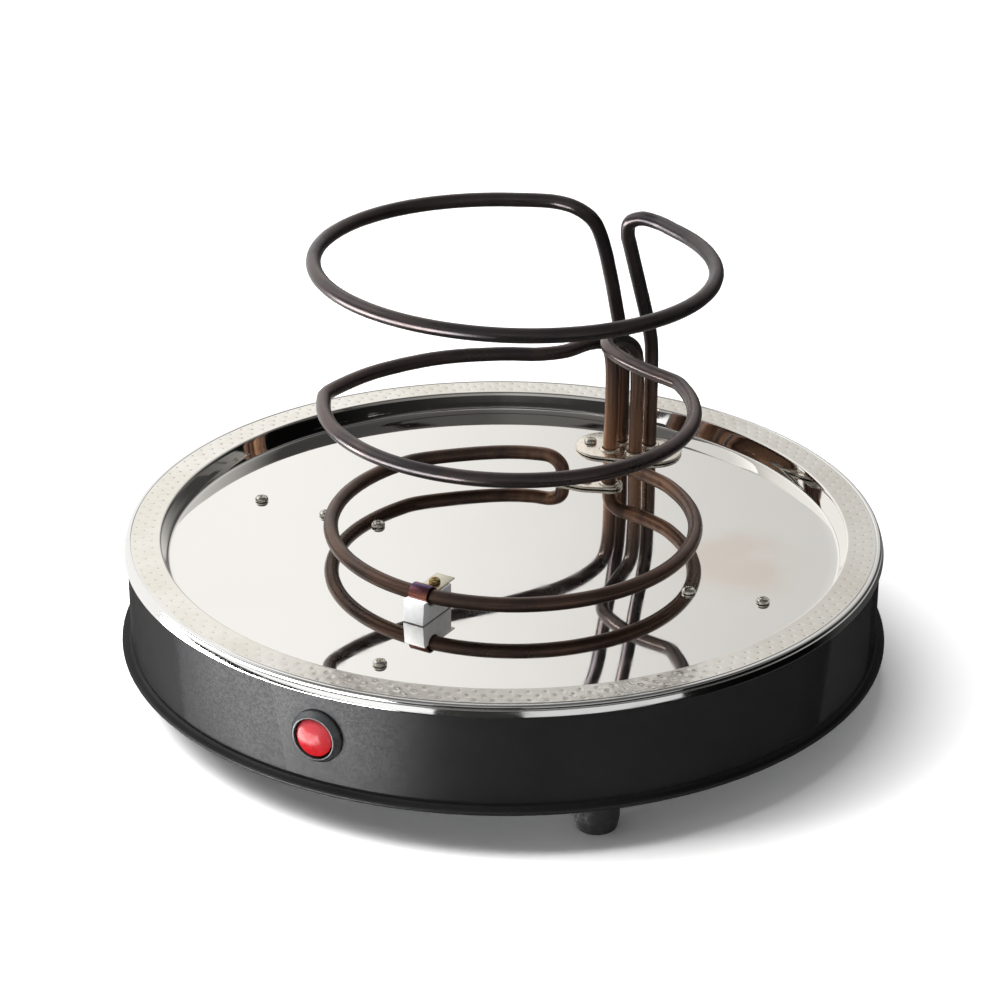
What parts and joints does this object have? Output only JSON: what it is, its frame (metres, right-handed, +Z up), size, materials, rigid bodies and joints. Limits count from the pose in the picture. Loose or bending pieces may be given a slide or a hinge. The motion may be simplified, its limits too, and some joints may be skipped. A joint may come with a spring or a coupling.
{
  "type": "hot plate burner",
  "caption": "Round electric tabletop burner: black drum with a polished reflector tray and three stacked tubular heating loops on rear legs, with a round rocker switch.",
  "frame": {"origin": "on the ground under the centre of the drum, at the bottoms of the four feet", "axes": "+Z up, -Y the front with the switch, +Y the back with the element tower and the cord gland, +X the right-hand side seen from the front"},
  "size_m": [0.338, 0.3398, 0.1907],
  "materials": {
    "polished_stainless": "mirror polished, dimpled on the flat rim",
    "satin_black_paint": "satin",
    "oxidised_sheath": "oxidised brown-black, semi-gloss",
    "nickel_screw": "bright",
    "brass_screw": "bright",
    "heat_tinted_strap": "heat tinted copper to violet",
    "white_ceramic": "white ceramic, satin",
    "red_lens": "gloss, translucent look",
    "black_plastic": "semi-gloss",
    "black_rubber": "matte",
    "galvanised_steel": "galvanised"
  },
  "bodies": {
    "base": {"bottom_cover": "galvanised_steel", "centre_bolt": "nickel_screw", "centre_nut": "nickel_screw", "centre_spacer": "galvanised_steel", "ceramic_standoff": "white_ceramic", "clamp_screw": "brass_screw", "cord_clamp": "black_plastic", "cord_gland": "black_rubber", "corner_bracket_front_left": "galvanised_steel", "corner_bracket_front_right": "galvanised_steel", "corner_bracket_rear_left": "galvanised_steel", "corner_bracket_rear_right": "galvanised_steel", "drum_skirt": "satin_black_paint", "earth_stud": "brass_screw", "element_clamp": "heat_tinted_strap", "end_seal_lower_left": "white_ceramic", "end_seal_lower_right": "white_ceramic", "end_seal_middle_left": "white_ceramic", "end_seal_middle_right": "white_ceramic", "end_seal_upper_left": "white_ceramic", "end_seal_upper_right": "white_ceramic", "floor_screw_1": "nickel_screw", "floor_screw_2": "nickel_screw", "floor_screw_3": "nickel_screw", "floor_screw_4": "nickel_screw", "floor_screw_5": "nickel_screw", "floor_screw_front": "nickel_screw", "foot_front_left": "black_rubber", "foot_front_right": "black_rubber", "foot_rear_left": "black_rubber", "foot_rear_right": "black_rubber", "foot_screw_front_left": "nickel_screw", "foot_screw_front_right": "nickel_screw", "foot_screw_rear_left": "nickel_screw", "foot_screw_rear_right": "nickel_screw", "front_bracket": "galvanised_steel", "front_flange": "polished_stainless", "front_flange_screw": "nickel_screw", "heat_shield": "galvanised_steel", "heating_loop_lower": "oxidised_sheath", "heating_loop_middle": "oxidised_sheath", "heating_loop_upper": "oxidised_sheath", "rear_flange": "polished_stainless", "rear_flange_screw_left": "nickel_screw", "rear_flange_screw_right": "nickel_screw", "reflector_tray": "polished_stainless", "switch_bezel": "black_plastic", "switch_housing": "black_plastic", "switch_tab_left": "brass_screw", "switch_tab_right": "brass_screw", "terminal_block": "white_ceramic", "terminal_pin_lower_left": "nickel_screw", "terminal_pin_lower_right": "nickel_screw", "terminal_pin_middle_left": "nickel_screw", "terminal_pin_middle_right": "nickel_screw", "terminal_pin_upper_left": "nickel_screw", "terminal_pin_upper_right": "nickel_screw", "thermal_cutout": "black_plastic", "tray_brace": "galvanised_steel"},
    "rocker": {"switch_rocker": "red_lens"}
  },
  "joints": [
    {"name": "rocker_tilt", "type": "hinge", "parent": "base", "child": "rocker", "pos_m": [0.001, -0.1636, 0.043], "axis": [1, 0, 0], "range_deg": [0, 10]}
  ]
}
